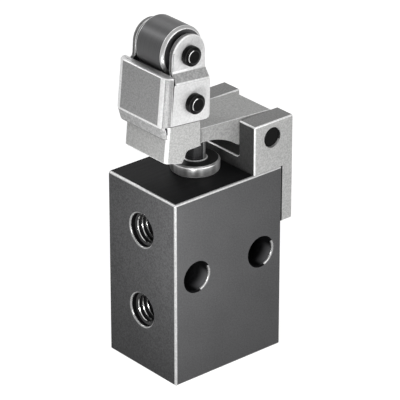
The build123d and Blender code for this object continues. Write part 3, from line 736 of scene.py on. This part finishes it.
class VALVE_OT_threads(bpy.types.Operator):
    """Cut the threads of both ports"""

    bl_idname = "valve.threads"
    bl_label = "Port threads"

    def execute(self, context):
        sizes = context.scene.valve_sizes
        pitch = sizes.thread_pitch
        foot = TOOTH_FOOT * pitch
        start_x = THREAD_MOUTH_X + foot / 2
        turns = math.floor((THREAD_END_X - start_x) / pitch)
        # a tooth's section, drawn upright on the port's axis and lifted to the wall
        bpy.ops.object.select_all(action="DESELECT")
        bpy.ops.mesh.primitive_plane_add(
            size=foot, location=(start_x, 0, PORT_HEIGHTS["outlet"]), rotation=(math.pi / 2, 0, 0)
        )
        thread = context.object
        thread.name = "outlet_thread"
        bpy.ops.object.transform_apply(location=False, rotation=True)
        wall = PORT_RADIUS + THREAD_SINK
        for vertex in thread.data.vertices:
            if vertex.co.z > 0:
                vertex.co.z = wall
            else:
                vertex.co.z = sizes.thread_crest
                vertex.co.x *= TOOTH_CREST
        helix = thread.modifiers.new("helix", "SCREW")
        helix.axis = "X"
        helix.angle = math.tau
        helix.screw_offset = pitch
        helix.iterations = turns
        helix.steps = helix.render_steps = THREAD_STEPS
        bpy.ops.object.modifier_apply(modifier=helix.name)
        # both ends run out into the wall
        rows = THREAD_STEPS * turns
        for vertex in thread.data.vertices:
            radius = math.hypot(vertex.co.y, vertex.co.z)
            row = vertex.index // TOOTH_CORNERS
            from_end = min(row, rows - row) / THREAD_STEPS
            height = min(1, TOOTH_LEAST + from_end / RUN_OUT)
            scale = (wall - (wall - radius) * height) / radius
            vertex.co.y *= scale
            vertex.co.z *= scale
        bpy.ops.object.transform_apply(location=True)
        bpy.ops.object.mode_set(mode="EDIT")
        bpy.ops.mesh.select_all(action="SELECT")
        bpy.ops.mesh.remove_doubles(threshold=DOUBLES)
        bpy.ops.mesh.fill_holes(sides=TOOTH_CORNERS)
        bpy.ops.mesh.select_all(action="SELECT")
        bpy.ops.mesh.normals_make_consistent(inside=False)
        bpy.ops.object.mode_set(mode="OBJECT")
        dress(thread, "thread_flank", "thread")
        round_edges(thread, sizes.thread_edge, 40, segments=1)
        smooth(thread, 30)
        bpy.ops.object.duplicate()
        lower = context.object
        lower.name = "supply_thread"
        lower.location.z = PORT_HEIGHTS["supply"] - PORT_HEIGHTS["outlet"]
        bpy.ops.object.transform_apply(location=True)
        for piece in (thread, lower):
            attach(piece, "valve")
        return {"FINISHED"}


HEAD_FRONT_X = -8.2 * MM  # the bevels of the head's front edges lie before this
HEAD_FRONT_TURN = 0.25  # and have more than this of Y in their normals
HEAD_REAR_X = -2.76 * MM  # back of the head, where the arm begins
HEAD_REAR_REACH = 0.25 * MM  # the bevels of the head's rear edges lie this near to it
ARM_HALF = 3.95 * MM  # half of the arm's width
EAR_INSIDE = 4.06 * MM  # half of the gap between the bracket's ears, and a little more
BRACKET_EDGE = 0.3 * MM  # the bracket's broken edges lie this near to its outside
HINGE_AXIS = (8.1 * MM, 34 * MM)  # X and Z of the hinge pin
HINGE_MOUTH_RADIUS = 1.7 * MM  # the mouths of its hole lie within this


def arm_side_shade(centre, normal):
    """The sides of the lever's arm, behind the head, which get painted shade."""
    return abs(normal.y) > FACING and centre.x > HEAD_REAR_X + TOUCH


def head_front_highlight(centre, normal):
    """The upright bevels of the head's front, which get a painted highlight."""
    turned_aside = HEAD_FRONT_TURN < abs(normal.y) < FLAT
    return normal.x < -LEANING and turned_aside and centre.x < HEAD_FRONT_X


def head_back_shade(centre, normal):
    """The upright bevels of the head's back, which get painted shade in the joint colour."""
    return (
        abs(centre.x - HEAD_REAR_X) < HEAD_REAR_REACH
        and abs(centre.y) > ARM_HALF
        and abs(normal.z) < LEANING
        and SLIGHT < abs(normal.y) < FLAT
    )


def near_hinge(centre):
    """Whether a point lies in the mouth of the hinge pin's hole."""
    return math.hypot(centre.x - HINGE_AXIS[0], centre.z - HINGE_AXIS[1]) < HINGE_MOUTH_RADIUS


class VALVE_OT_castings(bpy.types.Operator):
    """Dress the die-cast lever and bracket with painted edge highlights and painted shade"""

    bl_idname = "valve.castings"
    bl_label = "Castings"

    def execute(self, context):
        lever = merged_copy("lever", "cast_lever")
        dress(lever, "cast_metal", "painted_highlight", "joint", "arm_side_shade")
        # painted highlight: every rounded edge of the lever takes the second finish
        round_edges(lever, context.scene.valve_sizes.casting_edge)
        assign(lever, "arm_side_shade", arm_side_shade)
        assign(lever, "painted_highlight", head_front_highlight)
        # painted shade where the head meets the arm
        assign(lever, "joint", head_back_shade)
        smooth(lever)
        stand_in(lever, "lever")
        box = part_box("hinge_bracket")
        bracket = merged_copy("hinge_bracket", "cast_bracket")
        dress(bracket, "cast_metal", "painted_highlight", "painted_shade_cast", "ear_top_shade")
        # painted shade on the tops of the ears
        assign(
            bracket,
            "ear_top_shade",
            lambda centre, normal: normal.z > FACING and centre.z > box[1].z - TOUCH,
        )
        # painted shade on the fronts of the ears and the web, and on what lies between the ears
        assign(
            bracket,
            "painted_shade_cast",
            lambda centre, normal: normal.x < -FACING and centre.z > box[0].z
            or normal.z > FACING and abs(centre.y) < EAR_INSIDE,
        )
        # painted highlight on the bracket's broken edges
        assign(
            bracket,
            "painted_highlight",
            lambda centre, normal: slanted(normal)
            and sides_near(box, centre, BRACKET_EDGE) > 0
            and not near_hinge(centre),
        )
        smooth(bracket, 60)
        stand_in(bracket, "hinge_bracket")
        return {"FINISHED"}


CARRIER_LEAN = math.radians(5.5)
CARRIER_FRONT = Vector((-math.cos(CARRIER_LEAN), 0, math.sin(CARRIER_LEAN)))
CARRIER_UP = Vector((math.sin(CARRIER_LEAN), 0, math.cos(CARRIER_LEAN)))
TILT_AXIS = Vector((-5.0, 0, 42.6)) * MM
# heights over the tilt pin, along the leaning carrier
EAR_FOOT = 4.7 * MM
STEP_MIDDLE = 3.8 * MM
STEP_FOOT = 3.14 * MM
STEP_RIM = 0.18 * MM  # reach of the rolled rims under the steps, up and down
LIP_TOP = -3.35 * MM  # just under the fold between the plate and the lip
PLATE_MIDDLE = 2.0 * MM  # distance in front of the tilt pin that only the front plate passes
FLAT_FRONT = 0.999  # parts of the front direction in a normal: the flat plate has more than this
BEND_MIDDLE = 0.85  # the start of the bend, which gets a painted highlight, has more than this
BEND_END = 0.15  # and the rest of the bend more than this


def over_pin(centre):
    """Height of a point over the tilt pin, along the leaning carrier."""
    return (centre - TILT_AXIS).dot(CARRIER_UP)


def front_and_bends_shade(centre, normal):
    """The flat front plate and the rest of the bends beside it, which get painted shade."""
    front = normal.dot(CARRIER_FRONT)
    upright = abs(normal.dot(CARRIER_UP)) < ACROSS
    return front > FLAT_FRONT or upright and BEND_END < front <= BEND_MIDDLE


def steps_and_lip_shade(centre, normal):
    """The slopes of the steps, the fold at the plate's foot and the lip, which get painted shade.
    """
    front, up = normal.dot(CARRIER_FRONT), normal.dot(CARRIER_UP)
    return (
        HALF < up < FACING and abs(normal.y) > SLOPING
        or up < -LEANING and front > SLIGHT
        or up < -ACROSS and over_pin(centre) < LIP_TOP
    )


def bend_highlights(centre, normal):
    """The bends' starts, the rounds under the steps and the plate's top edges, with painted
    highlights.
    """
    front, up = normal.dot(CARRIER_FRONT), normal.dot(CARRIER_UP)
    return (
        abs(up) < ACROSS and BEND_MIDDLE < front < FLAT_FRONT
        or 0.02 < up <= HALF and abs(normal.y) > 0.8 and over_pin(centre) < STEP_MIDDLE
        or up > FACING and front < ACROSS and over_pin(centre) < EAR_FOOT
    )


def sheared_edges(centre, normal):
    """The cut edges round the ears, and behind the steps."""
    behind = normal.dot(CARRIER_FRONT) < -FACING
    return abs(normal.y) < ACROSS and over_pin(centre) > (STEP_MIDDLE if behind else EAR_FOOT)


def inner_faces_shade(centre, normal):
    """The sheet's inner faces, which look to the carrier's middle, and its lower edges, with
    painted shade.
    """
    front, up = normal.dot(CARRIER_FRONT), normal.dot(CARRIER_UP)
    in_plate = (centre - TILT_AXIS).dot(CARRIER_FRONT) > PLATE_MIDDLE
    return (
        front < -HALF and in_plate
        or normal.y * centre.y < 0 and abs(normal.y) > FACING
        or up < (-LEANING if abs(normal.y) > HALF > front else -HALF)
    )


def step_rim_highlights(centre, normal):
    """The rolled rims where the side plates turn in to the steps, which get a painted highlight."""
    return (
        abs(over_pin(centre) - STEP_FOOT) < STEP_RIM
        and normal.y * centre.y > 0
        and abs(normal.dot(CARRIER_FRONT)) < ACROSS
    )


class VALVE_OT_carrier(bpy.types.Operator):
    """Dress the pressed sheet carrier with painted highlights on its edges and painted shade"""

    bl_idname = "valve.carrier"
    bl_label = "Carrier"

    def execute(self, context):
        piece = merged_copy("roller_carrier", "sheet_carrier")
        dress(piece, "pressed_steel", "painted_highlight", "grained", "stretched_shade", "sheared", "inside")
        # painted highlight: every rounded edge first takes the second finish
        round_edges(piece, context.scene.valve_sizes.sheet_edge, 20)
        # later ones cover earlier ones
        assign(piece, "grained", front_and_bends_shade)
        assign(piece, "stretched_shade", steps_and_lip_shade)
        assign(piece, "painted_highlight", bend_highlights)
        assign(piece, "sheared", sheared_edges)
        assign(piece, "inside", inner_faces_shade)
        assign(piece, "painted_highlight", step_rim_highlights)
        smooth(piece)
        stand_in(piece, "roller_carrier")
        return {"FINISHED"}


PIN_HIGHLIGHT_SIDE = Vector((-0.87, 0, 0.5))  # where the rim of a pin's face gets a painted highlight
PIN_HIGHLIGHT_TURN = 0.5  # how far a point has to lie to that side, from 0 to 1
PIN_HIGHLIGHT_RADIUS = 1.02 * MM  # and how far from the pin's axis at most


class VALVE_OT_pins(bpy.types.Operator):
    """Round the edges of the two riveted pins"""

    bl_idname = "valve.pins"
    bl_label = "Riveted pins"

    def execute(self, context):
        for node in ("tilt_pin", "roller_axle"):
            pin = merged_copy(node, f"riveted_{node}")
            dress(pin, "black_steel", "black_edge", "painted_highlight")
            round_edges(pin, context.scene.valve_sizes.pin_edge, 20)
            low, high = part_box(node)
            middle = (low + high) / 2

            def pin_rim_highlight(centre, normal):
                """The stretch of the rim round a pin's face that gets a painted highlight."""
                out = centre - middle
                out.y = 0
                return (
                    out.length < PIN_HIGHLIGHT_RADIUS
                    and SLIGHT < abs(normal.y) < FLAT
                    and PIN_HIGHLIGHT_SIDE.dot(out) > PIN_HIGHLIGHT_TURN * out.length
                )

            assign(pin, "painted_highlight", pin_rim_highlight)
            smooth(pin)
            stand_in(pin, node)
        return {"FINISHED"}


BLOCK_TOP = 29 * MM
COLLAR_FOOT = 0.22 * MM  # height of the painted highlight at the collar's foot
COLLAR_MIDDLE = BLOCK_TOP + 1 * MM
LIP_RADIUS = 1.95 * MM  # the lip round the plunger lies within this
PLUNGER_BAND_SIDE = Vector((0.762, -0.648, 0))  # side of the plunger that gets a painted reflection band
PLUNGER_BAND_TURN = 0.72  # how far a face has to turn to that side, from 0 to 1


def collar_rim_highlights(centre, normal):
    """The collar's foot and the lip round the plunger, which get a painted highlight."""
    foot = 0 < centre.z - BLOCK_TOP < COLLAR_FOOT and abs(normal.z) < FLAT
    lip = (
        centre.z > COLLAR_MIDDLE
        and math.hypot(centre.x, centre.y) < LIP_RADIUS
        and ACROSS < normal.z < FLAT
    )
    return foot or lip


def turned_copy(node, width, *looks):
    """Copy a turned CAD piece, dress it and break its edges."""
    piece = merged_copy(node, f"turned_{node}")
    dress(piece, *looks)
    # the bevels take the second finish, a painted highlight on the roller, the collar and the
    # plunger
    round_edges(piece, width, 30)
    return piece


class VALVE_OT_turned(bpy.types.Operator):
    """Break the edges of the roller, the collar and the plunger"""

    bl_idname = "valve.turned"
    bl_label = "Turned pieces"

    def execute(self, context):
        sizes = context.scene.valve_sizes
        roller = turned_copy(
            "roller", sizes.turned_edge, "ground_steel", "turned_edge", "roller_rim_highlight"
        )
        # painted highlight on the roller's chamfers
        assign(roller, "roller_rim_highlight", lambda centre, normal: SLOPING < abs(normal.y) < FACING)
        smooth(roller)
        stand_in(roller, "roller")
        collar = turned_copy(
            "guide_bush", sizes.collar_edge, "turned_steel", "turned_edge", "collar_top_painted_shade", "painted_highlight"
        )
        # a cut all round gives the foot's painted highlight its own faces
        only(collar)
        bpy.ops.object.mode_set(mode="EDIT")
        bpy.ops.mesh.select_all(action="SELECT")
        bpy.ops.mesh.bisect(plane_co=(0, 0, BLOCK_TOP + COLLAR_FOOT), plane_no=(0, 0, 1))
        bpy.ops.object.mode_set(mode="OBJECT")
        # painted shade on the collar's top
        assign(collar, "collar_top_painted_shade", lambda centre, normal: normal.z > FACING)
        assign(collar, "painted_highlight", collar_rim_highlights)
        smooth(collar)
        stand_in(collar, "guide_bush")
        plunger = turned_copy(
            "plunger", sizes.turned_edge, "plunger_steel", "turned_edge", "turned_steel"
        )
        # painted reflection: a light band down one side of the plunger
        assign(
            plunger,
            "turned_steel",
            lambda centre, normal: PLUNGER_BAND_SIDE.dot(normal) > PLUNGER_BAND_TURN and centre.z > COLLAR_MIDDLE,
        )
        smooth(plunger)
        stand_in(plunger, "plunger")
        return {"FINISHED"}


class VALVE_OT_screws(bpy.types.Operator):
    """Break the edges of the bracket screws' flush heads"""

    bl_idname = "valve.screws"
    bl_label = "Bracket screws"

    def execute(self, context):
        piece = merged_copy("bracket_screws", "flush_screws")
        dress(piece, "screw_steel", "joint")
        round_edges(piece, context.scene.valve_sizes.screw_edge, 60)
        smooth(piece)
        stand_in(piece, "bracket_screws")
        return {"FINISHED"}


# bodies listed for a spring's low end and its high end, and the axis from one to the other;
# no end is tied to its body
SPRING_ENDS = {
    "plunger_spring": ("valve", "plunger", 2),
    "poppet_spring": ("valve", "poppet", 2),
    "tilt_spring": ("carrier", "lever", 1),
}
END_TURN = 0.5 * MM  # how far in from either end of a spring its end points lie


class VALVE_OT_wires(bpy.types.Operator):
    """Round the wire of the springs and the sections of the seal rings"""

    bl_idname = "valve.wires"
    bl_label = "Springs and seals"

    def execute(self, context):
        width = context.scene.valve_sizes.wire_edge
        for part in frame["record"]["subparts"]:
            node, look = part["node"], part["material_slot"]
            if not node.endswith(("spring", "o_ring")):
                continue
            piece = merged_copy(node, f"round_{node}")
            dress(piece, look)
            round_edges(piece, width, 30, slot_index=0)
            smooth(piece, 60)
            if node not in SPRING_ENDS:
                stand_in(piece, node)
                continue
            low_body, high_body, axis = SPRING_ENDS[node]
            low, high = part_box(node)
            start = (low + high) / 2
            end = start.copy()
            start[axis] = low[axis] + END_TURN
            end[axis] = high[axis] - END_TURN
            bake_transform(piece)
            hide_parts(node)
        return {"FINISHED"}


WHITE = (1, 1, 1, 1)
FLOOR_TONE = (0.42, 0.42, 0.42, 1)
FLOOR_GLOW = 0.84  # lifts the floor to white, while the lamps still draw a shadow on it
ROOM_LIGHT = 0.16  # light of the white room on matt faces
LAMPS_AIM = Vector((0, 0, 0.025))
# name, place in metres, energy in watts and width in metres
LAMPS = (
    ("key", (0.12, -0.6, 0.2), 2.02, 0.45),
    ("side", (-0.6, -0.05, 0.25), 0.04, 0.35),
    ("corner", (-0.033, -0.03, 0.026), 0.0135, 0.012),
    ("top", (0.05, 0.1, 0.7), 0.4, 0.5),
    ("back strip", (-0.31, 0.48, 0.46), 0.8, 0.12),
    ("back top", (0.2, 0.5, 0.6), 0.6, 0.3),
)
# the camera was fitted to the edges in the photo
CAMERA_AZIMUTH = math.radians(-40.36)
CAMERA_ELEVATION = math.radians(26.28)
CAMERA_DISTANCE = 434.2 * MM
CAMERA_AIM = Vector((0, 0, 14.5)) * MM
CAMERA_RIGHT = 0.70 * MM  # shift of the camera to its own right
CAMERA_UP = 8.43 * MM  # and upwards
CAMERA_LENS = 270  # millimetres


def seen_or_mirrored(tree):
    """1 for rays from the camera, a glossy face or glass, and 0 for those that light matt faces."""
    path = add_node(tree, "ShaderNodeLightPath").outputs
    seen = path["Is Camera Ray"]
    for ray in ("Is Glossy Ray", "Is Transmission Ray"):
        seen = add_node(tree, "ShaderNodeMath", {0: seen, 1: path[ray]}, operation="MAXIMUM")
    return seen


class VALVE_OT_stage(bpy.types.Operator):
    """Set the floor, the lamps and the camera"""

    bl_idname = "valve.stage"
    bl_label = "Stage"

    def execute(self, context):
        scene = context.scene
        scene.view_settings.view_transform = "Standard"
        # a plane 3 m wide, just under the valve's foot
        bpy.ops.mesh.primitive_plane_add(size=3, location=(0, 0, -0.01 * MM))
        floor = context.object
        floor.name = "floor"
        bpy.ops.object.transform_apply(location=True)
        white, tree, shader, _ = new_finish("white_floor", metallic=0.0, rough=0.9)
        glow = add_node(
            tree, "ShaderNodeMath", {0: seen_or_mirrored(tree), 1: FLOOR_GLOW}, operation="MULTIPLY"
        )
        glowing = {"Emission Color": WHITE, "Emission Strength": glow}
        fill(tree, shader, {"Base Color": FLOOR_TONE, **glowing})
        floor.data.materials.append(white)
        world = bpy.data.worlds.new("studio")
        scene.world = world
        world.use_nodes = True
        tree = world.node_tree
        level = add_node(
            tree,
            "ShaderNodeMapRange",
            {"Value": seen_or_mirrored(tree), "To Min": ROOM_LIGHT, "To Max": 1.0},
        )
        fill(tree, tree.nodes["Background"], {"Color": WHITE, "Strength": level})
        for name, place, energy, width in LAMPS:
            bpy.ops.object.light_add(type="AREA", location=place)
            lamp = context.object
            lamp.name = name
            lamp.visible_camera = False
            lamp.data.energy = energy
            lamp.data.size = width
            aim = LAMPS_AIM - Vector(place)
            lamp.rotation_euler = aim.to_track_quat("-Z", "Y").to_euler()
        a, e = CAMERA_AZIMUTH, CAMERA_ELEVATION
        back = Vector((math.sin(a) * math.cos(e), -math.cos(a) * math.cos(e), math.sin(e)))
        right = Vector((math.cos(a), math.sin(a), 0))
        up = back.cross(right)
        place = CAMERA_AIM + back * CAMERA_DISTANCE + right * CAMERA_RIGHT + up * CAMERA_UP
        turn = Matrix((right, up, back)).transposed().to_4x4()
        bpy.ops.object.camera_add()
        camera = context.object
        camera.matrix_world = Matrix.Translation(place) @ turn
        camera.data.lens = CAMERA_LENS
        camera.data.sensor_width = 36
        camera.data.clip_start = 0.01
        camera.data.clip_end = 10
        scene.camera = camera
        return {"FINISHED"}


STEPS = (
    VALVE_OT_finishes,
    VALVE_OT_block,
    VALVE_OT_threads,
    VALVE_OT_castings,
    VALVE_OT_carrier,
    VALVE_OT_pins,
    VALVE_OT_turned,
    VALVE_OT_screws,
    VALVE_OT_wires,
    VALVE_OT_stage,
)


class VALVE_PT_build(bpy.types.Panel):
    """Sizes, colours and steps of the valve"""

    bl_idname = "VALVE_PT_build"
    bl_label = "Roller Lever Valve"
    bl_space_type = "VIEW_3D"
    bl_region_type = "UI"
    bl_category = "Valve"

    def draw(self, context):
        for group in (context.scene.valve_sizes, context.scene.valve_colours):
            column = self.layout.column()
            for name in group.__annotations__:
                column.prop(group, name)
        for step in STEPS:
            self.layout.operator(step.bl_idname)


CLASSES = (ValveColours, ValveSizes, *STEPS, VALVE_PT_build)


def register():
    """Add the classes and the scene's sizes and colours."""
    for cls in CLASSES:
        bpy.utils.register_class(cls)
    bpy.types.Scene.valve_colours = bpy.props.PointerProperty(type=ValveColours)
    bpy.types.Scene.valve_sizes = bpy.props.PointerProperty(type=ValveSizes)


def unregister():
    """Take away what register added."""
    del bpy.types.Scene.valve_sizes
    del bpy.types.Scene.valve_colours
    for cls in reversed(CLASSES):
        bpy.utils.unregister_class(cls)


def main():
    """Build the visual model step by step."""
    register()
    bpy.ops.valve.finishes()
    bpy.ops.valve.block()
    bpy.ops.valve.threads()
    bpy.ops.valve.castings()
    bpy.ops.valve.carrier()
    bpy.ops.valve.pins()
    bpy.ops.valve.turned()
    bpy.ops.valve.screws()
    bpy.ops.valve.wires()
    bpy.ops.valve.stage()


if __name__ == "__main__":
    main()
